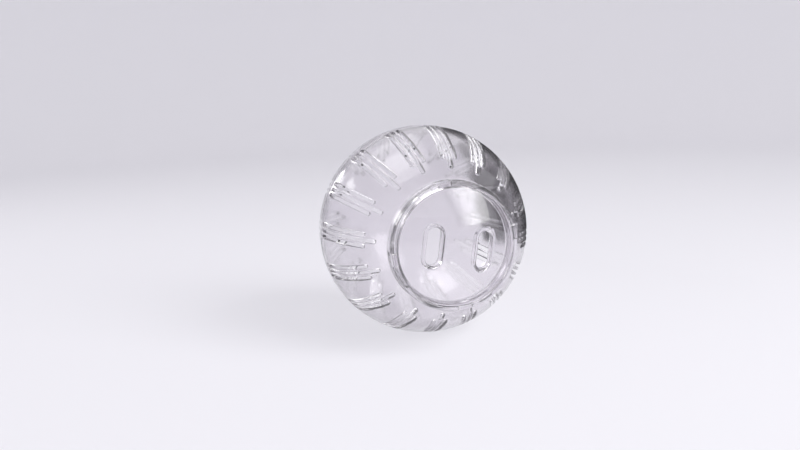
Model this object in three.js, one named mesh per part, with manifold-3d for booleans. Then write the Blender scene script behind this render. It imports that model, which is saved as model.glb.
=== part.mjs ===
// Hamster ball: a clear ball of two vented half shells that push together at the seam, with a
// round neck on one half that takes a twist-lock door with two finger holes.
//
// Frame: millimetres, +Z up, origin at the centre of the ball. The ball's pole axis lies along Y,
// the seam lies in the plane y = 0, and the neck and its door face -Y.
//
// Each piece is modelled with its own pole pointing up +Y and y = 0 at the seam, and is then
// turned into place. Angles round the pole are in degrees, counter-clockwise as seen from
// outside, from +X.
import * as THREE from 'three';
import { mergeVertices } from 'three/addons/utils/BufferGeometryUtils.js';
import Module from 'manifold-3d';

// Ball and seam. The tabs stand midway between vent groups, the first one FIRST_TAB_GAP groups round
const BALL_RADIUS = 63.5;
const SHELL_WALL = 2.0;
const SEAM_GAP = 0.3;
const TONGUE_DEPTH = 2.0;
const TONGUE_WALL = 1.4;
const TONGUE_ROOT = 3.0;
const TONGUE_CLEARANCE = 0.2;
const TAB_COUNT = 4;
const TAB_WIDTH = 10.0;
const TAB_DEPTH = 6.0;
const TAB_END_PLAY = 0.5;
const FIRST_TAB_GAP = 1.5;

// Air vents, in groups of three slots that run from near the seam towards the pole
const VENT_GROUPS = 16;
const VENT_WIDTH = 2.0;
const VENT_PITCH = 3.4;
const VENT_SEAM_GAP = 4.4;
const VENT_NECK_GAP = 7.2;
const SIDE_VENT_SHORTFALL = 7.4;

// Neck that carries the door
const NECK_RADIUS = 36.2;
const NECK_WALL = 2.4;
const NECK_FILLET = 1.0;
const RIM_SETBACK = 0.5;
const RIM_EDGE = 0.4;
const SEAT_DEPTH = 7.0;
const LEDGE_WIDTH = 2.2;
const LEDGE_THICKNESS = 1.6;

// Twist lock: lugs on the door, windows that hold them, and the grooves they travel in
const LUG_COUNT = 4;
const LOCK_TURN = 20;
const WINDOW_LENGTH = 8.4;
const WINDOW_HEIGHT = 3.8;
const WINDOW_BELOW_RIM = 2.0;
const GROOVE_DEPTH = 1.4;
const LUG_CLEARANCE = 0.3;
const LUG_END_PLAY = 0.5;

// Door
const DOOR_CLEARANCE = 0.35;
const DOOR_WALL = 1.8;
const SKIRT_WALL = 1.6;
const DOOR_SET_DOWN = 1.0;
const DOOR_EDGE = 0.5;
const SEAT_CLEARANCE = 0.3;

// Finger holes in the door
const HOLE_SPACING = 28.6;
const HOLE_WIDTH = 8.3;
const HOLE_LENGTH = 21.0;
const MOUTH_FLARE = 2.1;
const FLANGE_WALL = 1.6;
const FLANGE_DEPTH = 6.5;

// How far each pattern is turned round the pole, in degrees
const VENT_ANGLE = -5.0;
const WINDOW_ANGLE = 8.3;
const HOLE_ANGLE = -8.7;

// Fineness of the curved faces
const ROUND_STEPS = 48;
const DOME_FACET = 11.5;
const HOLE_STEPS = 6;
const FILLET_STEPS = 2;

// A cutter runs this far past the face it cuts, and corners nearer than this are one
const OVERRUN = 3.0;
const MERGE_DISTANCE = 1e-4;

// Clear colourless polystyrene
const PLASTIC_COLOUR = 0xd6d2da;
const PLASTIC_ROUGHNESS = 0.08;
const PLASTIC_OPACITY = 0.35;

const wasm = await Module();
wasm.setup();

const radians = THREE.MathUtils.degToRad;
const degrees = THREE.MathUtils.radToDeg;

// Closed three.js geometry to a solid: only positions stay, and triangles with no area go
function solidFrom(geometry) {
  geometry.deleteAttribute('normal');
  geometry.deleteAttribute('uv');
  const merged = mergeVertices(geometry, MERGE_DISTANCE);
  const index = merged.index.array;
  const triangles = [];
  for (let i = 0; i < index.length; i += 3) {
    const [a, b, c] = [index[i], index[i + 1], index[i + 2]];
    if (a !== b && b !== c && c !== a) triangles.push(a, b, c);
  }
  const mesh = new wasm.Mesh({
    numProp: 3,
    vertProperties: new Float32Array(merged.attributes.position.array),
    triVerts: new Uint32Array(triangles),
  });
  return new wasm.Manifold(mesh);
}

function geometryFrom(solid) {
  const mesh = solid.getMesh();
  const geometry = new THREE.BufferGeometry();
  geometry.setAttribute('position', new THREE.BufferAttribute(mesh.vertProperties, 3));
  geometry.setIndex(new THREE.BufferAttribute(mesh.triVerts, 1));
  geometry.computeVertexNormals();
  return geometry;
}

function joined(solids) {
  return solids.reduce((sum, solid) => sum.add(solid));
}

// Points of an arc about (0, centre), from one elevation to another
function domeArc(radius, from, to, centre = 0) {
  const steps = Math.ceil(Math.abs(degrees(to - from)) / DOME_FACET);
  const points = [];
  for (let i = 0; i <= steps; i += 1) {
    const angle = from + ((to - from) * i) / steps;
    points.push(new THREE.Vector2(radius * Math.cos(angle), centre + radius * Math.sin(angle)));
  }
  return points;
}

// Height above the centre of a circle at a given distance from the pole axis
function heightAt(radius, distance) {
  return Math.sqrt(radius * radius - distance * distance);
}

// Closed profile of [distance from the axis, height] points, turned about the pole axis, with one
// of its edges at the given angle
function turned(points, firstAngle) {
  const outline = [...points, points[0].clone()];
  const start = Math.PI / 2 + radians(firstAngle);
  return solidFrom(new THREE.LatheGeometry(outline, ROUND_STEPS, start));
}

// A shape drawn as seen from outside the pole, raised between two heights
function raised(shape, bottom, top, curveSegments = HOLE_STEPS) {
  const geometry = new THREE.ExtrudeGeometry(shape, {
    depth: top - bottom,
    bevelEnabled: false,
    curveSegments,
  });
  geometry.rotateX(-Math.PI / 2);
  geometry.translate(0, bottom, 0);
  return solidFrom(geometry);
}

// Part of a ring round the pole axis, between two radii, two angles and two heights
function ringSector(inner, outer, from, to, bottom, top) {
  const shape = new THREE.Shape();
  shape.absarc(0, 0, outer, radians(from), radians(to), false);
  shape.absarc(0, 0, inner, radians(to), radians(from), true);
  const steps = Math.ceil(((to - from) * ROUND_STEPS) / 360);
  return raised(shape, bottom, top, steps);
}

// Angle that a length takes up round the pole axis at a given radius
function angleOf(length, radius) {
  return degrees(length / radius);
}

// Shell
const hollowRadius = BALL_RADIUS - SHELL_WALL;
const seamEdge = SEAM_GAP / 2;
const neckLatitude = Math.acos(NECK_RADIUS / BALL_RADIUS);

// Straight socket inside the door-side shell's seam, and the tongue and tabs that push into it.
// The socket's flats lie inside its corners, so the tongue is sized from the flats.
const socketDepth = Math.max(TAB_DEPTH, TONGUE_DEPTH) + TAB_END_PLAY;
const socketRadius = heightAt(hollowRadius, socketDepth);
const tongueOuter = socketRadius * Math.cos(Math.PI / ROUND_STEPS) - TONGUE_CLEARANCE;
const tongueInner = tongueOuter - TONGUE_WALL;

// One vent slot: a straight-sided wedge through the wall, between two latitudes
function ventSlot(angle, sideways, endLatitude) {
  const low = VENT_SEAM_GAP / BALL_RADIUS;
  const middle = (low + endLatitude) / 2;
  const inside = hollowRadius - OVERRUN;
  const outside = (BALL_RADIUS + OVERRUN) / Math.cos(middle - low);
  const corner = (radius, latitude) => new THREE.Vector2(
    radius * Math.cos(latitude),
    radius * Math.sin(latitude),
  );
  const wedge = new THREE.Shape([
    corner(inside, low),
    corner(outside, low),
    corner(outside, middle),
    corner(outside, endLatitude),
    corner(inside, endLatitude),
  ]);
  const slot = new THREE.ExtrudeGeometry(wedge, { depth: VENT_WIDTH, bevelEnabled: false });
  slot.translate(0, 0, -VENT_WIDTH / 2 - sideways);
  slot.rotateY(radians(angle));
  return solidFrom(slot);
}

// All the vents of one half: in each group the middle slot is the longest
function vents(firstAngle) {
  const longEnd = neckLatitude - VENT_NECK_GAP / BALL_RADIUS;
  const shortEnd = longEnd - SIDE_VENT_SHORTFALL / BALL_RADIUS;
  const slots = [];
  for (let group = 0; group < VENT_GROUPS; group += 1) {
    const angle = firstAngle + (group * 360) / VENT_GROUPS;
    slots.push(ventSlot(angle, 0, longEnd));
    slots.push(ventSlot(angle, VENT_PITCH, shortEnd));
    slots.push(ventSlot(angle, -VENT_PITCH, shortEnd));
  }
  return joined(slots);
}

// Neck and door seat, heights from the seam plane
const rimHeight = BALL_RADIUS - RIM_SETBACK;
const boreRadius = NECK_RADIUS - NECK_WALL;
const ledgeRadius = boreRadius - LEDGE_WIDTH;
const seatHeight = rimHeight - SEAT_DEPTH;
const windowTop = rimHeight - WINDOW_BELOW_RIM;
const windowBottom = windowTop - WINDOW_HEIGHT;
const grooveRadius = boreRadius + GROOVE_DEPTH;
const windowHalfAngle = angleOf(WINDOW_LENGTH / 2, NECK_RADIUS);

// Door-side half shell, with the neck, its ledge and the lock's windows and grooves
function doorSideShell() {
  const filletAcross = NECK_RADIUS + NECK_FILLET;
  const filletHeight = heightAt(BALL_RADIUS + NECK_FILLET, filletAcross);
  const filletStart = Math.atan2(filletHeight, filletAcross);
  const fillet = [];
  for (let i = 1; i <= FILLET_STEPS; i += 1) {
    const angle = Math.PI + filletStart * (1 - i / FILLET_STEPS);
    fillet.push(new THREE.Vector2(
      filletAcross + NECK_FILLET * Math.cos(angle),
      filletHeight + NECK_FILLET * Math.sin(angle),
    ));
  }
  const ledgeBottom = seatHeight - LEDGE_THICKNESS;
  const hollowAtBore = Math.acos(boreRadius / hollowRadius);

  const shell = turned([
    ...domeArc(BALL_RADIUS, Math.asin(seamEdge / BALL_RADIUS), filletStart),
    ...fillet,
    new THREE.Vector2(NECK_RADIUS, rimHeight - RIM_EDGE),
    new THREE.Vector2(NECK_RADIUS - RIM_EDGE, rimHeight),
    new THREE.Vector2(boreRadius + RIM_EDGE, rimHeight),
    new THREE.Vector2(boreRadius, rimHeight - RIM_EDGE),
    new THREE.Vector2(boreRadius, seatHeight),
    new THREE.Vector2(ledgeRadius, seatHeight),
    new THREE.Vector2(ledgeRadius, ledgeBottom),
    new THREE.Vector2(boreRadius, ledgeBottom),
    ...domeArc(hollowRadius, hollowAtBore, Math.asin(socketDepth / hollowRadius)),
    new THREE.Vector2(socketRadius, seamEdge),
  ], VENT_ANGLE);

  const cuts = [];
  for (let i = 0; i < LUG_COUNT; i += 1) {
    const locked = WINDOW_ANGLE + (i * 360) / LUG_COUNT;
    const entry = locked + LOCK_TURN;
    const inner = boreRadius - LEDGE_WIDTH / 2;
    cuts.push(ringSector(inner, NECK_RADIUS + OVERRUN,
      locked - windowHalfAngle, locked + windowHalfAngle, windowBottom, windowTop));
    cuts.push(ringSector(inner, grooveRadius,
      locked - windowHalfAngle, entry + windowHalfAngle, windowBottom, windowTop));
    cuts.push(ringSector(inner, grooveRadius,
      entry - windowHalfAngle, entry + windowHalfAngle, windowBottom, rimHeight + OVERRUN));
  }
  return shell.subtract(vents(VENT_ANGLE)).subtract(joined(cuts));
}

// Far-side half shell, closed at its pole, with the tongue and tabs that push into the other half
function farSideShell() {
  const rootLatitude = Math.asin(TONGUE_ROOT / hollowRadius);

  const shell = turned([
    ...domeArc(BALL_RADIUS, Math.asin(seamEdge / BALL_RADIUS), Math.PI / 2),
    ...domeArc(hollowRadius, Math.PI / 2, rootLatitude),
    new THREE.Vector2(tongueInner, TONGUE_ROOT - TONGUE_WALL / 2),
    new THREE.Vector2(tongueInner, -TONGUE_DEPTH),
    new THREE.Vector2(tongueOuter, -TONGUE_DEPTH),
    new THREE.Vector2(tongueOuter, seamEdge),
  ], -VENT_ANGLE);

  const tabs = [];
  const halfTab = angleOf(TAB_WIDTH / 2, tongueOuter);
  for (let i = 0; i < TAB_COUNT; i += 1) {
    const group = Math.round((i * VENT_GROUPS) / TAB_COUNT) + FIRST_TAB_GAP;
    const angle = -VENT_ANGLE + (group * 360) / VENT_GROUPS;
    tabs.push(ringSector(tongueInner, tongueOuter, angle - halfTab, angle + halfTab,
      -TAB_DEPTH, -seamEdge));
  }
  return shell.subtract(vents(-VENT_ANGLE)).add(joined(tabs));
}

// Rounded oblong, its long way up and down in the door
function oblong(width, length) {
  const radius = width / 2;
  const straight = (length - width) / 2;
  const shape = new THREE.Shape();
  shape.absarc(0, straight, radius, 0, Math.PI, false);
  shape.absarc(0, -straight, radius, Math.PI, 2 * Math.PI, false);
  return shape;
}

// Door: a dome on a short skirt, four lugs, and two finger holes with flanges inside
function door() {
  const skirtRadius = boreRadius - DOOR_CLEARANCE;
  const skirtInner = skirtRadius - SKIRT_WALL;
  const domeInner = BALL_RADIUS - DOOR_WALL;
  const edgeHeight = rimHeight - DOOR_SET_DOWN;
  const domeCentre = edgeHeight - heightAt(BALL_RADIUS, skirtRadius);
  const skirtBottom = seatHeight + SEAT_CLEARANCE;
  const edgeRadius = skirtRadius - DOOR_EDGE;
  const domeOutline = domeArc(BALL_RADIUS, Math.acos(edgeRadius / BALL_RADIUS), Math.PI / 2, domeCentre);

  const dome = turned([
    new THREE.Vector2(skirtInner, skirtBottom),
    new THREE.Vector2(skirtRadius, skirtBottom),
    new THREE.Vector2(skirtRadius, edgeHeight - DOOR_EDGE),
    ...domeOutline,
    ...domeArc(domeInner, Math.PI / 2, Math.acos(skirtInner / domeInner), domeCentre),
  ], VENT_ANGLE);
  const underDome = turned([
    new THREE.Vector2(0, skirtBottom),
    new THREE.Vector2(edgeRadius, skirtBottom),
    ...domeOutline,
  ], VENT_ANGLE);

  const lugs = [];
  const lugHalfAngle = windowHalfAngle - angleOf(LUG_END_PLAY, NECK_RADIUS);
  for (let i = 0; i < LUG_COUNT; i += 1) {
    const angle = WINDOW_ANGLE + (i * 360) / LUG_COUNT;
    lugs.push(ringSector(skirtRadius - SKIRT_WALL / 2, grooveRadius - LUG_CLEARANCE,
      angle - lugHalfAngle, angle + lugHalfAngle,
      windowBottom + LUG_CLEARANCE, windowTop - LUG_CLEARANCE));
  }

  const holeSide = HOLE_SPACING / 2;
  const mouthHeight = domeCentre + heightAt(BALL_RADIUS, holeSide);
  const mouthTilt = Math.asin(holeSide / BALL_RADIUS);
  const flangeBottom = mouthHeight - FLANGE_DEPTH;
  const top = rimHeight + BALL_RADIUS;
  const place = (solid, side) => solid.translate([side * holeSide, 0, 0]);
  let body = dome.add(joined(lugs));
  const holes = [];
  for (const side of [-1, 1]) {
    const tube = raised(oblong(HOLE_WIDTH + 2 * FLANGE_WALL, HOLE_LENGTH + 2 * FLANGE_WALL),
      flangeBottom, top);
    const flange = place(tube, side).rotate([0, HOLE_ANGLE, 0]).intersect(underDome);
    body = body.add(flange);

    const hole = raised(oblong(HOLE_WIDTH, HOLE_LENGTH), skirtBottom - OVERRUN, top);
    const flare = new THREE.ExtrudeGeometry(oblong(HOLE_WIDTH, HOLE_LENGTH), {
      depth: OVERRUN,
      bevelSize: MOUTH_FLARE,
      bevelThickness: MOUTH_FLARE,
      bevelSegments: 1,
      curveSegments: HOLE_STEPS,
    });
    flare.rotateX(-Math.PI / 2);
    flare.rotateZ(-side * mouthTilt);
    flare.translate(0, mouthHeight, 0);
    holes.push(place(hole.add(solidFrom(flare)), side).rotate([0, HOLE_ANGLE, 0]));
  }
  return body.subtract(joined(holes));
}

// All three mouldings are of the same clear plastic
function clearPlastic() {
  return new THREE.MeshStandardMaterial({
    color: PLASTIC_COLOUR,
    roughness: PLASTIC_ROUGHNESS,
    metalness: 0,
    transparent: true,
    opacity: PLASTIC_OPACITY,
  });
}

function piece(name, solid) {
  const mesh = new THREE.Mesh(geometryFrom(solid), clearPlastic());
  mesh.name = name;
  return mesh;
}

// The door-side pieces are turned over so that their pole points to -Y
const doorSide = new THREE.Group();
doorSide.rotation.x = Math.PI;
doorSide.add(piece('door_side_shell', doorSideShell()));
doorSide.add(piece('door', door()));

const ball = new THREE.Group();
ball.add(doorSide);
ball.add(piece('far_side_shell', farSideShell()));

export default ball;
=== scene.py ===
# Hamster ball: two vented half shells of clear polystyrene that push together at the seam, and a
# twist-lock door with two finger holes in a raised neck. The pole axis lies along Y, with the door at -Y.
import math

import bmesh
import bpy
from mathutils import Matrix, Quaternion, Vector


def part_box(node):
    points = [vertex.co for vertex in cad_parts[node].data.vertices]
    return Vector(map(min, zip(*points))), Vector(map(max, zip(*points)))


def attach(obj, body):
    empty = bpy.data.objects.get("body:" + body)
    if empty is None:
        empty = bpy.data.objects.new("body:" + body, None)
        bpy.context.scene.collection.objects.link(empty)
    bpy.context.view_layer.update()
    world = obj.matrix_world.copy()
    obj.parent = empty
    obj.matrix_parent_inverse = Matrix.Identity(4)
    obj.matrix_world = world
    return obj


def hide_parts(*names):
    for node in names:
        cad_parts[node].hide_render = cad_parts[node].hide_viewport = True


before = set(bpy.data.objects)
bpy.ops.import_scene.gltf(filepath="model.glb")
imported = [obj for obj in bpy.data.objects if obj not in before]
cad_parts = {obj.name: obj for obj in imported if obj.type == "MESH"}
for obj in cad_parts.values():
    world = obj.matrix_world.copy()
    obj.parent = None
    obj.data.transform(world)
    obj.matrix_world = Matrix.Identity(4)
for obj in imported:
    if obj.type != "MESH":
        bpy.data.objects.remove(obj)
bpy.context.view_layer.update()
MM = 0.001
BALL_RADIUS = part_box("far_side_shell")[1].y / MM


# Camera: a little above the ball and to its left, so that the door is seen turned away to the right.
# The distance is in ball radii, and the shifts are shares of the picture's width.
CAMERA_AZIMUTH = -16.5
CAMERA_ELEVATION = 10.3
CAMERA_ROLL = -2.0
CAMERA_DISTANCE = 8.0
CAMERA_LENS = 37.0
CAMERA_SHIFT = (-0.02875, 0.00425)

camera_data = bpy.data.cameras.new("camera")
camera_data.lens = CAMERA_LENS
camera_data.shift_x, camera_data.shift_y = CAMERA_SHIFT
camera = bpy.data.objects.new("camera", camera_data)
azimuth = math.radians(CAMERA_AZIMUTH)
elevation = math.radians(CAMERA_ELEVATION)
to_camera = Vector((
    math.sin(azimuth) * math.cos(elevation),
    -math.cos(azimuth) * math.cos(elevation),
    math.sin(elevation),
))
camera.location = to_camera * CAMERA_DISTANCE * BALL_RADIUS * MM
roll = Quaternion((0, 0, 1), math.radians(CAMERA_ROLL))
camera.rotation_euler = (to_camera.to_track_quat("Z", "Y") @ roll).to_euler()
bpy.context.scene.collection.objects.link(camera)
bpy.context.scene.camera = camera


# Door-side half shell: half the ball, with the neck, the door's ledge and the lock moulded in.
# It is injection-moulded in clear polystyrene, and the vents and lock windows are cored out of the wall.
# Heights are from the seam plane, and angles are seen from the door's side, counter-clockwise from +X.
SHELL_WALL = 2.0
HOLLOW_RADIUS = BALL_RADIUS - SHELL_WALL
SEAM_EDGE = 0.15
SEAM_ROUND = 0.25
SOCKET_DEPTH = 6.5
NECK_RADIUS = 36.2
BORE_RADIUS = 33.8
NECK_FILLET = 1.0
RIM_HEIGHT = 63.0
RIM_ROUND = 0.5
SEAT_HEIGHT = 56.0
LEDGE_RADIUS = 31.6
LEDGE_THICKNESS = 1.6
LEDGE_ROUND = 0.3
STEPS_ROUND = 288
ARC_STEP = 1.25
CORNER_STEPS = 5
MERGE_DISTANCE = 1e-8
AXIS_DISTANCE = 1e-6


def arc(radius, start, end, centre=(0.0, 0.0)):
    """Points of (distance from the axis, height) on an arc between two elevations, in degrees."""
    count = math.ceil(abs(end - start) / ARC_STEP)
    angles = [math.radians(start + (end - start) * i / count) for i in range(count + 1)]
    return [(centre[0] + radius * math.cos(a), centre[1] + radius * math.sin(a)) for a in angles]


def corner(point, before, after, radius):
    """A corner rounded between the directions of the points before and after it."""
    back = (Vector(before) - point).normalized()
    ahead = (Vector(after) - point).normalized()
    half = back.angle(ahead) / 2
    centre = point + (back + ahead).normalized() * radius / math.sin(half)
    start = point + back * radius / math.tan(half) - centre
    end = point + ahead * radius / math.tan(half) - centre
    sweep = start.angle(end)
    points = []
    for i in range(CORNER_STEPS + 1):
        share = i / CORNER_STEPS
        spoke = start * math.sin((1 - share) * sweep) + end * math.sin(share * sweep)
        points.append(tuple(centre + spoke / math.sin(sweep)))
    return points


def rounded(outline):
    """Closed outline whose points with a third number are rounded to that radius."""
    smooth = []
    for i, point in enumerate(outline):
        if len(point) == 2:
            smooth.append(point)
            continue
        before = outline[i - 1][:2]
        after = outline[(i + 1) % len(outline)][:2]
        smooth.extend(corner(Vector(point[:2]), before, after, point[2]))
    return smooth


def placed(name, shape):
    """A closed mesh as an object at the origin, with its faces pointing out."""
    bmesh.ops.remove_doubles(shape, verts=shape.verts, dist=MERGE_DISTANCE)
    bmesh.ops.recalc_face_normals(shape, faces=shape.faces)
    mesh = bpy.data.meshes.new(name)
    shape.to_mesh(mesh)
    shape.free()
    piece = bpy.data.objects.new(name, mesh)
    bpy.context.scene.collection.objects.link(piece)
    return piece


def turned(name, outline, side):
    """Closed outline turned round the pole axis. Heights run to -Y for side -1 and to +Y for side 1."""
    shape = bmesh.new()
    rings = []
    for distance, height in outline:
        count = STEPS_ROUND if distance > AXIS_DISTANCE else 1
        angles = [2 * math.pi * i / count for i in range(count)]
        rings.append([
            shape.verts.new(Vector((distance * math.cos(a), side * height, distance * math.sin(a))) * MM)
            for a in angles
        ])
    for ring, following in zip(rings, rings[1:] + rings[:1]):
        for i in range(STEPS_ROUND):
            around = (
                ring[i % len(ring)],
                ring[(i + 1) % len(ring)],
                following[(i + 1) % len(following)],
                following[i % len(following)],
            )
            distinct = list(dict.fromkeys(around))
            if len(distinct) > 2:
                shape.faces.new(distinct)
    return placed(name, shape)


def stations(start, end, half, corner_radius, spacing):
    """(Along, half width) steps down a round-cornered oblong, from its start to its end."""
    sweep = [math.pi / 2 * i / CORNER_STEPS for i in range(CORNER_STEPS + 1)]
    cap = [(corner_radius * (1 - math.cos(a)), half - corner_radius * (1 - math.sin(a))) for a in sweep]
    first = start + corner_radius
    last = end - corner_radius
    count = math.ceil((last - first) / spacing)
    middle = [(first + (last - first) * i / count, half) for i in range(1, count)]
    return [(start + s, w) for s, w in cap] + middle + [(end - s, w) for s, w in reversed(cap)]


def stack(shape, levels, ring=False):
    """Joins levels of (left points, right points) into one closed body, capped or closed on itself."""
    loops = [[shape.verts.new(Vector(p) * MM) for p in left + right[::-1]] for left, right in levels]
    count = len(loops[0])
    following = loops[1:] + loops[:1] if ring else loops[1:]
    for lower, upper in zip(loops, following):
        for i in range(count):
            j = (i + 1) % count
            shape.faces.new((lower[i], lower[j], upper[j], upper[i]))
    if ring:
        return
    for loop in (loops[0], loops[-1]):
        for i in range(count // 2 - 1):
            shape.faces.new((loop[i], loop[i + 1], loop[count - 2 - i], loop[count - 1 - i]))


def edge_round(radius):
    """(Growth, depth) down a hole's rounded edge, from its straight wall out to just clear of the surface."""
    angles = [math.pi / 2 * i / CORNER_STEPS for i in range(CORNER_STEPS + 1)]
    return [(radius * (1 - math.cos(a)), radius * (1 - math.sin(a)) - CLEAR) for a in angles]


def add(tree, kind, links=None, **settings):
    """A node with its settings, and its inputs linked to sockets or set to values."""
    node = tree.nodes.new(kind)
    for key, value in settings.items():
        setattr(node, key, value)
    for key, value in (links or {}).items():
        if isinstance(value, bpy.types.NodeSocket):
            tree.links.new(value, node.inputs[key])
        else:
            node.inputs[key].default_value = value
    return node


def pattern_tree(name, operation):
    """Copies a tool round the pole axis, then cuts it from the shape or joins it on."""
    tree = bpy.data.node_groups.new(name, "GeometryNodeTree")
    tree.interface.new_socket("Shape", in_out="INPUT", socket_type="NodeSocketGeometry")
    tree.interface.new_socket("Tool", in_out="INPUT", socket_type="NodeSocketObject")
    tree.interface.new_socket("Copies", in_out="INPUT", socket_type="NodeSocketInt")
    tree.interface.new_socket("First angle", in_out="INPUT", socket_type="NodeSocketFloat")
    tree.interface.new_socket("Material", in_out="INPUT", socket_type="NodeSocketMaterial")
    tree.interface.new_socket("Shape", in_out="OUTPUT", socket_type="NodeSocketGeometry")
    given = tree.nodes.new("NodeGroupInput").outputs
    tool = add(tree, "GeometryNodeObjectInfo", {"Object": given["Tool"]})
    points = add(tree, "GeometryNodePoints", {"Count": given["Copies"]})
    index = add(tree, "GeometryNodeInputIndex")
    step = add(tree, "ShaderNodeMath", {0: -2 * math.pi, 1: given["Copies"]}, operation="DIVIDE")
    first = add(tree, "ShaderNodeMath", {0: given["First angle"], 1: -1.0}, operation="MULTIPLY")
    turn = add(tree, "ShaderNodeMath", {0: index.outputs[0], 1: step.outputs[0], 2: first.outputs[0]},
               operation="MULTIPLY_ADD")
    about_y = add(tree, "ShaderNodeCombineXYZ", {"Y": turn.outputs[0]})
    copies = add(tree, "GeometryNodeInstanceOnPoints", {
        "Points": points.outputs[0],
        "Instance": tool.outputs["Geometry"],
        "Rotation": about_y.outputs[0],
    })
    boolean = add(tree, "GeometryNodeMeshBoolean", {1: copies.outputs[0]},
                  operation=operation, solver="MANIFOLD")
    tree.links.new(given["Shape"], boolean.inputs[1 if operation == "UNION" else 0])
    real = add(tree, "GeometryNodeRealizeInstances", {0: boolean.outputs[0]})
    surface = add(tree, "GeometryNodeSetMaterial", {
        "Geometry": real.outputs[0],
        "Material": given["Material"],
    })
    add(tree, "NodeGroupOutput", {0: surface.outputs[0]})
    return tree


cut_round_pole = pattern_tree("cut round the pole", "DIFFERENCE")
join_round_pole = pattern_tree("join round the pole", "UNION")


def repeat(piece, tree, tool, copies, first_angle):
    """Puts the pattern on a piece and makes the result its plain mesh. The angle is in degrees."""
    modifier = piece.modifiers.new(tree.name, "NODES")
    modifier.node_group = tree
    values = {
        "Tool": tool,
        "Copies": copies,
        "First angle": math.radians(first_angle),
        "Material": clear,
    }
    for item in tree.interface.items_tree:
        if item.in_out == "INPUT" and item.name in values:
            modifier[item.identifier] = values[item.name]
    graph = bpy.context.evaluated_depsgraph_get()
    result = bpy.data.meshes.new_from_object(piece.evaluated_get(graph))
    piece.modifiers.clear()
    piece.data = result
    bpy.data.objects.remove(tool)


def linear(code):
    """An sRGB hex colour as linear red, green, blue and alpha."""
    parts = [int(code[i:i + 2], 16) / 255 for i in (1, 3, 5)]
    return [c / 12.92 if c <= 0.04045 else ((c + 0.055) / 1.055) ** 2.4 for c in parts] + [1.0]


# Clear polystyrene, injection-moulded and high gloss: it lets nearly all light through, mirrors its
# surroundings softly, and shows a faint lilac-grey tint where the wall is seen edge on. Handling leaves hazy
# patches and fine scratches, drawn coarser than real ones so that they show, and moulding a slow ripple.
CLEAR_TINT = "#f5f3f6"
CLEAR_IOR = 1.59
CLEAR_TRANSMISSION = 0.98
GLOSS_ROUGHNESS = 0.07
HAZE_ROUGHNESS = 0.12
HAZE_PATCH = 11.0
HAZE_RANGE = (0.15, 0.4)
SCRATCH_SPACING = 1.1
SCRATCH_STRETCH = 9.0
SCRATCH_TURN = (0.4, 0.9, 0.2)
FLOW_LENGTH = 16.0
FLOW_DEPTH = 0.03

clear = bpy.data.materials.new("clear polystyrene")
clear.use_nodes = True
clear_tree = clear.node_tree
clear_shader = clear_tree.nodes["Principled BSDF"]
clear_shader.inputs["Base Color"].default_value = linear(CLEAR_TINT)
clear_shader.inputs["Transmission Weight"].default_value = CLEAR_TRANSMISSION
clear_shader.inputs["IOR"].default_value = CLEAR_IOR
clear_place = add(clear_tree, "ShaderNodeTexCoord")
haze = add(clear_tree, "ShaderNodeTexNoise", {
    "Vector": clear_place.outputs["Object"], "Scale": 1 / (HAZE_PATCH * MM), "Detail": 3.0,
})
stretched = add(clear_tree, "ShaderNodeMapping", {
    "Vector": clear_place.outputs["Object"],
    "Rotation": SCRATCH_TURN,
    "Scale": (1.0, 1 / SCRATCH_STRETCH, 1.0),
})
scratches = add(clear_tree, "ShaderNodeTexNoise", {
    "Vector": stretched.outputs[0], "Scale": 1 / (SCRATCH_SPACING * MM), "Detail": 2.0,
})
wear = add(clear_tree, "ShaderNodeMath", {0: haze.outputs[0], 1: scratches.outputs[0]}, operation="MULTIPLY")
worn_roughness = add(clear_tree, "ShaderNodeMapRange", {
    "Value": wear.outputs[0], "From Min": HAZE_RANGE[0], "From Max": HAZE_RANGE[1],
    "To Min": GLOSS_ROUGHNESS, "To Max": HAZE_ROUGHNESS,
})
clear_tree.links.new(worn_roughness.outputs[0], clear_shader.inputs["Roughness"])
flow = add(clear_tree, "ShaderNodeTexNoise", {
    "Vector": clear_place.outputs["Object"], "Scale": 1 / (FLOW_LENGTH * MM), "Detail": 1.0,
})
flow_bump = add(clear_tree, "ShaderNodeBump", {
    "Height": flow.outputs[0], "Distance": FLOW_DEPTH * MM, "Strength": 1.0,
})
clear_tree.links.new(flow_bump.outputs[0], clear_shader.inputs["Normal"])

# A tool that cuts stops this far clear of a surface where its edge is rounded, and runs this far past it
CLEAR = 0.015
OVERRUN = 1.5
VENT_GROUPS = 16
VENT_ANGLE = -5.0
VENT_WIDTH = 2.0
VENT_PITCH = 3.4
VENT_START = 4.4
VENT_NECK_GAP = 7.2
VENT_STAGGER = 7.4
VENT_LONG_END = BALL_RADIUS * math.acos(NECK_RADIUS / BALL_RADIUS) - VENT_NECK_GAP
VENT_SHORT_END = VENT_LONG_END - VENT_STAGGER
VENT_ROUND = 0.3
STATION_SPACING = 2.0


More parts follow.
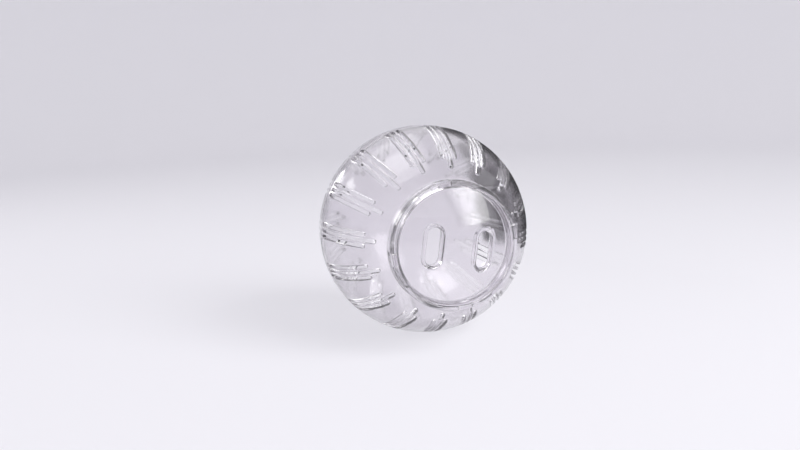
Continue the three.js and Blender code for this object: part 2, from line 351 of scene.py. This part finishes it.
def vent_group(side):
    """One group of three vents at angle 0: a long middle slot and a shorter one each side of it."""
    shape = bmesh.new()
    inner = [(growth, HOLLOW_RADIUS + depth) for growth, depth in reversed(edge_round(VENT_ROUND))]
    outer = [(growth, BALL_RADIUS - depth) for growth, depth in edge_round(VENT_ROUND)]
    depths = [(VENT_ROUND, HOLLOW_RADIUS - OVERRUN)] + inner + outer + [(VENT_ROUND, BALL_RADIUS + OVERRUN)]
    for sideways, end in ((-VENT_PITCH, VENT_SHORT_END), (0, VENT_LONG_END), (VENT_PITCH, VENT_SHORT_END)):
        levels = []
        for growth, radius in depths:
            half = VENT_WIDTH / 2 + growth
            rails = ([], [])
            for along, width in stations(VENT_START - growth, end + growth, half, half, STATION_SPACING):
                latitude = along / BALL_RADIUS
                for rail, across in zip(rails, (sideways - width, sideways + width)):
                    out = math.sqrt((radius * math.cos(latitude)) ** 2 - across ** 2)
                    rail.append((out, side * radius * math.sin(latitude), across))
            levels.append(rails)
        stack(shape, levels)
    return placed("vent group", shape)


def block(name, depths, length, bottom, top, side, corner_radius, angle=0.0):
    """A round-cornered block bent round the pole axis, through (growth, radius) depths. Its length is
    measured round the largest radius that isn't past the neck, and its middle stands at an angle."""
    shape = bmesh.new()
    middle = (bottom + top) / 2
    levels = []
    for growth, radius in depths:
        half = (top - bottom) / 2 + growth
        rails = ([], [])
        reach = length / 2 + growth
        for along, width in stations(-reach, reach, half, corner_radius + growth, STATION_SPACING / 2):
            turn = math.radians(angle) + along / LENGTH_RADIUS[side]
            for rail, height in zip(rails, (middle - width, middle + width)):
                rail.append((radius * math.cos(turn), side * height, radius * math.sin(turn)))
        levels.append(rails)
    stack(shape, levels)
    return placed(name, shape)


# Lengths round the axis are measured at the neck on the door's side, and at the tongue on the far side
TONGUE_RADIUS = 60.82
LENGTH_RADIUS = {-1: NECK_RADIUS, 1: TONGUE_RADIUS}
LUG_COUNT = 4
WINDOW_ANGLE = 8.3
LOCK_TURN = 20.0
WINDOW_LENGTH = 8.4
WINDOW_BOTTOM = 57.2
WINDOW_TOP = 61.0
WINDOW_ROUND = 0.3
WINDOW_CORNER = 0.6
GROOVE_RADIUS = 35.2
GROOVE_STEP = 0.04
LOCK_REACH = 1.1
LOCK_INNER = BORE_RADIUS - LOCK_REACH

socket_radius = math.sqrt(HOLLOW_RADIUS ** 2 - SOCKET_DEPTH ** 2)
seam_start = (math.sqrt(BALL_RADIUS ** 2 - SEAM_EDGE ** 2), SEAM_EDGE, SEAM_ROUND)
first_elevation = math.degrees(math.asin((SEAM_EDGE + 2 * SEAM_ROUND) / BALL_RADIUS))
fillet_centre = (
    NECK_RADIUS + NECK_FILLET,
    math.sqrt((BALL_RADIUS + NECK_FILLET) ** 2 - (NECK_RADIUS + NECK_FILLET) ** 2),
)
fillet_elevation = math.degrees(math.atan2(fillet_centre[1], fillet_centre[0]))
door_side_outline = rounded([
    seam_start,
    *arc(BALL_RADIUS, first_elevation, fillet_elevation),
    *arc(NECK_FILLET, 180 + fillet_elevation, 180, fillet_centre)[1:],
    (NECK_RADIUS, RIM_HEIGHT, RIM_ROUND),
    (BORE_RADIUS, RIM_HEIGHT, RIM_ROUND),
    (BORE_RADIUS, SEAT_HEIGHT, LEDGE_ROUND),
    (LEDGE_RADIUS, SEAT_HEIGHT, LEDGE_ROUND),
    (LEDGE_RADIUS, SEAT_HEIGHT - LEDGE_THICKNESS, LEDGE_ROUND),
    (BORE_RADIUS, SEAT_HEIGHT - LEDGE_THICKNESS, LEDGE_ROUND),
    *arc(
        HOLLOW_RADIUS,
        math.degrees(math.acos(BORE_RADIUS / HOLLOW_RADIUS)),
        math.degrees(math.asin(SOCKET_DEPTH / HOLLOW_RADIUS)),
    ),
    (socket_radius, SEAM_EDGE, SEAM_ROUND),
])
door_side = turned("door_side_half_shell", door_side_outline, -1)
repeat(door_side, cut_round_pole, vent_group(-1), VENT_GROUPS, VENT_ANGLE)

through_neck = [(0.0, LOCK_INNER)]
through_neck += [(growth, NECK_RADIUS - depth) for growth, depth in edge_round(WINDOW_ROUND)]
through_neck += [(WINDOW_ROUND, NECK_RADIUS + OVERRUN)]
window = block("window", through_neck, WINDOW_LENGTH, WINDOW_BOTTOM, WINDOW_TOP, -1, WINDOW_CORNER)
repeat(door_side, cut_round_pole, window, LUG_COUNT, WINDOW_ANGLE)

turn_length = math.radians(LOCK_TURN) * NECK_RADIUS
in_bore = [(0.0, LOCK_INNER), (0.0, GROOVE_RADIUS)]
groove = block(
    "groove", in_bore, WINDOW_LENGTH + turn_length, WINDOW_BOTTOM + GROOVE_STEP, WINDOW_TOP - GROOVE_STEP,
    -1, WINDOW_CORNER, LOCK_TURN / 2,
)
repeat(door_side, cut_round_pole, groove, LUG_COUNT, WINDOW_ANGLE)
notch = block(
    "notch", in_bore, WINDOW_LENGTH, WINDOW_BOTTOM + 2 * GROOVE_STEP, RIM_HEIGHT + OVERRUN,
    -1, WINDOW_CORNER, LOCK_TURN,
)
repeat(door_side, cut_round_pole, notch, LUG_COUNT, WINDOW_ANGLE)

SHARP_ANGLE = math.radians(35)


def finished(piece, node, body):
    """Smooth shading with sharp corners kept, and the piece set in place of its CAD node on its body."""
    mesh = piece.data
    mesh.materials.clear()
    mesh.materials.append(clear)
    mesh.polygons.foreach_set("use_smooth", [True] * len(mesh.polygons))
    mesh.set_sharp_from_angle(angle=SHARP_ANGLE)
    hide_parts(node)
    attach(piece, body)


finished(door_side, "door_side_shell", "door_side_half")


# Far-side half shell: the closed half of the ball, with the same vents, moulded in the same plastic.
# A tongue all round and four tabs reach past the seam and push into the other half's socket.
TONGUE_WALL = 1.4
TONGUE_INNER = TONGUE_RADIUS - TONGUE_WALL
TONGUE_DEPTH = 2.0
TONGUE_ROOT = 3.0
TONGUE_SLOPE = 0.7
TONGUE_ROUND = 0.3
TAB_COUNT = 4
TAB_VENT_STEPS = 2.5
TAB_ANGLE = VENT_ANGLE + TAB_VENT_STEPS * 360 / VENT_GROUPS
TAB_WIDTH = 10.0
TAB_DEPTH = 6.0
TAB_CORNER = 1.2
TAB_INSET = 0.03

far_side_outline = rounded([
    seam_start,
    *arc(BALL_RADIUS, first_elevation, 90),
    *arc(HOLLOW_RADIUS, 90, math.degrees(math.asin(TONGUE_ROOT / HOLLOW_RADIUS))),
    (TONGUE_INNER, TONGUE_ROOT - TONGUE_SLOPE),
    (TONGUE_INNER, -TONGUE_DEPTH, TONGUE_ROUND),
    (TONGUE_RADIUS, -TONGUE_DEPTH, TONGUE_ROUND),
    (TONGUE_RADIUS, SEAM_EDGE),
])
far_side = turned("far_side_half_shell", far_side_outline, 1)
repeat(far_side, cut_round_pole, vent_group(1), VENT_GROUPS, VENT_ANGLE)

tab_edge = [(-growth, depth) for growth, depth in reversed(edge_round(TONGUE_ROUND))]
through_tab = [(growth, TONGUE_INNER + TAB_INSET + depth) for growth, depth in tab_edge]
through_tab += [(growth, TONGUE_RADIUS - TAB_INSET - depth) for growth, depth in reversed(tab_edge)]
tab = block("tab", through_tab, TAB_WIDTH, -TAB_DEPTH, -SEAM_EDGE - TONGUE_ROUND, 1, TAB_CORNER)
repeat(far_side, join_round_pole, tab, TAB_COUNT, TAB_ANGLE)
finished(far_side, "far_side_shell", "far_side_half")


# Door: a domed lid on a short skirt, moulded in the same clear plastic. Four lugs on the skirt turn in
# the neck's grooves, and two finger holes with rolled mouths have flanges that stiffen the lid inside.
DOOR_RADIUS = 33.45
SKIRT_INNER = 31.85
SKIRT_BOTTOM = 56.3
SKIRT_ROUND = 0.35
DOOR_EDGE_HEIGHT = 62.0
DOOR_EDGE_ROUND = 0.5
DOME_WALL = 1.8
DOME_INNER = BALL_RADIUS - DOME_WALL
LUG_INNER = 32.65
LUG_OUTER = 34.9
LUG_END_PLAY = 0.5
LUG_CLEARANCE = 0.3
LUG_ROUND = 0.3
HOLE_COUNT = 2
HOLE_SIDE = 14.3
HOLE_ANGLE = -8.7
HOLE_WIDTH = 8.3
HOLE_LENGTH = 21.0
MOUTH_FLARE = 2.1
FLANGE_WALL = 1.6
FLANGE_DEPTH = 6.5
FLANGE_ROUND = 0.4
FLANGE_FILLET = 0.8
FLANGE_LAP = 0.3

dome_centre = DOOR_EDGE_HEIGHT - math.sqrt(BALL_RADIUS ** 2 - DOOR_RADIUS ** 2)
dome_start = math.degrees(math.acos((DOOR_RADIUS - 2 * DOOR_EDGE_ROUND) / BALL_RADIUS))
door_outline = rounded([
    (SKIRT_INNER, SKIRT_BOTTOM, SKIRT_ROUND),
    (DOOR_RADIUS, SKIRT_BOTTOM, SKIRT_ROUND),
    (DOOR_RADIUS, DOOR_EDGE_HEIGHT, DOOR_EDGE_ROUND),
    *arc(BALL_RADIUS, dome_start, 90, (0.0, dome_centre)),
    *arc(DOME_INNER, 90, math.degrees(math.acos(SKIRT_INNER / DOME_INNER)), (0.0, dome_centre)),
])
door = turned("twist_lock_door", door_outline, -1)

lug_depths = [(0.0, LUG_INNER)]
lug_depths += [(-growth, LUG_OUTER - depth) for growth, depth in edge_round(LUG_ROUND)]
lug = block(
    "lug", lug_depths, WINDOW_LENGTH - 2 * LUG_END_PLAY, WINDOW_BOTTOM + LUG_CLEARANCE,
    WINDOW_TOP - LUG_CLEARANCE, -1, WINDOW_CORNER,
)
repeat(door, join_round_pole, lug, LUG_COUNT, WINDOW_ANGLE)


def hole_rails(growth, height):
    """The two rails of a finger hole's outline, grown outwards. height gives each point's height."""
    half = HOLE_WIDTH / 2 + growth
    end = HOLE_LENGTH / 2 + growth
    rails = ([], [])
    for along, width in stations(-end, end, half, half, STATION_SPACING):
        for rail, x in zip(rails, (HOLE_SIDE - width, HOLE_SIDE + width)):
            rail.append((x, -height(x, along), along))
    return rails


def under_dome(depth):
    """Height of the dome at a place, less a depth."""
    return lambda x, z: dome_centre + math.sqrt(BALL_RADIUS ** 2 - x ** 2 - z ** 2) - depth


def level(height):
    """The same height at every place."""
    return lambda x, z: height


flange_bottom = dome_centre + math.sqrt(BALL_RADIUS ** 2 - HOLE_SIDE ** 2) - FLANGE_DEPTH
flange_shape = bmesh.new()
flange_levels = [
    hole_rails(-FLANGE_LAP, level(flange_bottom)),
    hole_rails(FLANGE_WALL - FLANGE_ROUND, level(flange_bottom)),
]
for growth, depth in reversed(edge_round(FLANGE_ROUND)):
    flange_levels.append(hole_rails(FLANGE_WALL - growth, level(flange_bottom + depth)))
for growth, depth in edge_round(FLANGE_FILLET):
    flange_levels.append(hole_rails(FLANGE_WALL + growth, under_dome(DOME_WALL + depth)))
flange_levels.append(hole_rails(FLANGE_WALL + FLANGE_FILLET, under_dome(DOME_WALL / 2)))
flange_levels.append(hole_rails(-FLANGE_LAP, under_dome(DOME_WALL / 2)))
stack(flange_shape, flange_levels, ring=True)
repeat(door, join_round_pole, placed("flange", flange_shape), HOLE_COUNT, HOLE_ANGLE)

hole_shape = bmesh.new()
hole_levels = [hole_rails(0.0, level(flange_bottom - OVERRUN))]
for growth, depth in edge_round(MOUTH_FLARE):
    hole_levels.append(hole_rails(growth, under_dome(depth)))
hole_levels.append(hole_rails(MOUTH_FLARE, under_dome(-OVERRUN)))
stack(hole_shape, hole_levels)
repeat(door, cut_round_pole, placed("finger hole", hole_shape), HOLE_COUNT, HOLE_ANGLE)
finished(door, "door", "door")


# Studio: a round pale floor that sweeps up into a wall all round, so that no horizon shows from any side.
# It is matt painted board, and the ball stands on its flat middle.
FLOOR_RADIUS = 1.3
SWEEP_RADIUS = 0.6
WALL_HEIGHT = 0.3
STUDIO_STEPS = 96
STUDIO_MERGE = 1e-6
SWEEP_STEPS = 16
STUDIO_COLOUR = "#e9e8ec"
STUDIO_ROUGHNESS = 0.9

floor_height = -BALL_RADIUS * MM
sweep_angles = [math.pi / 2 * i / SWEEP_STEPS for i in range(SWEEP_STEPS + 1)]
studio_profile = [(0.0, 0.0)]
studio_profile += [
    (FLOOR_RADIUS + SWEEP_RADIUS * math.sin(a), SWEEP_RADIUS * (1 - math.cos(a))) for a in sweep_angles
]
studio_profile.append((FLOOR_RADIUS + SWEEP_RADIUS, SWEEP_RADIUS + WALL_HEIGHT))
studio_shape = bmesh.new()
for distance, height in studio_profile:
    studio_shape.verts.new((distance, 0.0, floor_height + height))
studio_shape.verts.ensure_lookup_table()
for first, second in zip(studio_shape.verts[:-1], studio_shape.verts[1:]):
    studio_shape.edges.new((first, second))
bmesh.ops.spin(
    studio_shape, geom=studio_shape.verts[:] + studio_shape.edges[:], cent=(0, 0, 0), axis=(0, 0, 1),
    angle=2 * math.pi, steps=STUDIO_STEPS, use_merge=True,
)
bmesh.ops.remove_doubles(studio_shape, verts=studio_shape.verts, dist=STUDIO_MERGE)
bmesh.ops.recalc_face_normals(studio_shape, faces=studio_shape.faces)
studio_mesh = bpy.data.meshes.new("studio_sweep")
studio_shape.to_mesh(studio_mesh)
studio_shape.free()
studio_mesh.polygons.foreach_set("use_smooth", [True] * len(studio_mesh.polygons))
studio_sweep = bpy.data.objects.new("studio_sweep", studio_mesh)
bpy.context.scene.collection.objects.link(studio_sweep)
board = bpy.data.materials.new("matt painted board")
board.use_nodes = True
board_shader = board.node_tree.nodes["Principled BSDF"]
board_shader.inputs["Base Color"].default_value = linear(STUDIO_COLOUR)
board_shader.inputs["Roughness"].default_value = STUDIO_ROUGHNESS
studio_mesh.materials.append(board)

# Light: a soft pale sky over the open top, and softboxes placed so that the ball mirrors them where the
# highlights lie. Each is given by its direction from the ball, its distance, its size and its radiance.
SKY_COLOUR = "#f1f0f4"
SKY_STRENGTH = 0.88
SOFTBOXES = {
    "top softbox": ((-0.28, -0.02, 0.9), 1.1, 0.75, 1.4),
    "side softbox": ((-0.72, 0.5, 0.42), 1.0, 0.25, 2.2),
}
FRONT_DIRECTION = (0.49, -0.7, 0.5)
FRONT_DISTANCE = 1.2
FRONT_SIZE = 0.85
FRONT_RADIANCE = 4.0
FRONT_FADE = 0.5

sky = bpy.data.worlds.new("soft sky")
sky.use_nodes = True
sky.node_tree.nodes["Background"].inputs["Color"].default_value = linear(SKY_COLOUR)
sky.node_tree.nodes["Background"].inputs["Strength"].default_value = SKY_STRENGTH
bpy.context.scene.world = sky

# Clear plastic lets the lamps' light through to the floor, so the ball keeps only part of the sky off it.
# The floor gathers no light through the pieces as well, which would count the lamps twice.
clear_pieces = bpy.data.collections.new("clear pieces")
for piece in (door_side, far_side, door):
    piece.visible_diffuse = False
    clear_pieces.objects.link(piece)
for member in clear_pieces.collection_objects:
    member.light_linking.link_state = "EXCLUDE"
for name, (direction, distance, size, radiance) in SOFTBOXES.items():
    lamp_data = bpy.data.lights.new(name, "AREA")
    lamp_data.size = size
    lamp_data.energy = radiance * math.pi * size ** 2
    lamp = bpy.data.objects.new(name, lamp_data)
    lamp.location = Vector(direction).normalized() * distance
    lamp.rotation_euler = Vector(direction).to_track_quat("Z", "Y").to_euler()
    lamp.light_linking.blocker_collection = clear_pieces
    bpy.context.scene.collection.objects.link(lamp)


def card(name, corners, paint, place):
    """A flat card that stands at a place and faces the ball. Like a lamp, it isn't seen by the camera."""
    mesh = bpy.data.meshes.new(name)
    mesh.from_pydata(corners, [], [tuple(range(len(corners)))])
    mesh.materials.append(paint)
    sheet = bpy.data.objects.new(name, mesh)
    sheet.location = place
    sheet.rotation_euler = place.to_track_quat("Z", "Y").to_euler()
    bpy.context.scene.collection.objects.link(sheet)
    sheet.visible_camera = False
    return sheet


def square(side):
    """Corners of a flat square round its middle."""
    half = side / 2
    return [(-half, -half, 0), (half, -half, 0), (half, half, 0), (-half, half, 0)]


silk = bpy.data.materials.new("lit silk")
silk.use_nodes = True
silk_tree = silk.node_tree
silk_tree.nodes.clear()
silk_place = add(silk_tree, "ShaderNodeTexCoord")
silk_axes = add(silk_tree, "ShaderNodeSeparateXYZ", {0: silk_place.outputs["Object"]})
silk_fade = add(silk_tree, "ShaderNodeMapRange", {
    "Value": silk_axes.outputs["X"],
    "From Min": -FRONT_SIZE / 2,
    "From Max": -FRONT_SIZE / 2 + FRONT_FADE * FRONT_SIZE,
    "To Min": 0.0,
    "To Max": FRONT_RADIANCE,
}, interpolation_type="SMOOTHSTEP")
silk_light = add(silk_tree, "ShaderNodeEmission", {"Strength": silk_fade.outputs[0]})
add(silk_tree, "ShaderNodeOutputMaterial", {"Surface": silk_light.outputs[0]})
card("front_softbox", square(FRONT_SIZE), silk, Vector(FRONT_DIRECTION).normalized() * FRONT_DISTANCE)

# Flags: two plain square frames of dark felt, as a studio uses to give clear plastic its dark edges. One
# stands behind the ball to its right and one at its right side, by direction, distance and size.
FELT_COLOUR = "#1d1b1e"
FELT_ROUGHNESS = 1.0
FLAGS = {
    "rear_flag": ((0.81, 0.53, 0.26), 0.21, 0.24),
    "side_flag": ((0.95, -0.1, 0.1), 0.9, 0.7),
}

felt = bpy.data.materials.new("dark felt")
felt.use_nodes = True
felt_shader = felt.node_tree.nodes["Principled BSDF"]
felt_shader.inputs["Base Color"].default_value = linear(FELT_COLOUR)
felt_shader.inputs["Roughness"].default_value = FELT_ROUGHNESS
for name, (direction, distance, size) in FLAGS.items():
    flag = card(name, square(size), felt, Vector(direction).normalized() * distance)
    flag.visible_diffuse = False
    flag.visible_shadow = False
bpy.context.scene.view_settings.view_transform = "Standard"

bpy.context.view_layer.update()
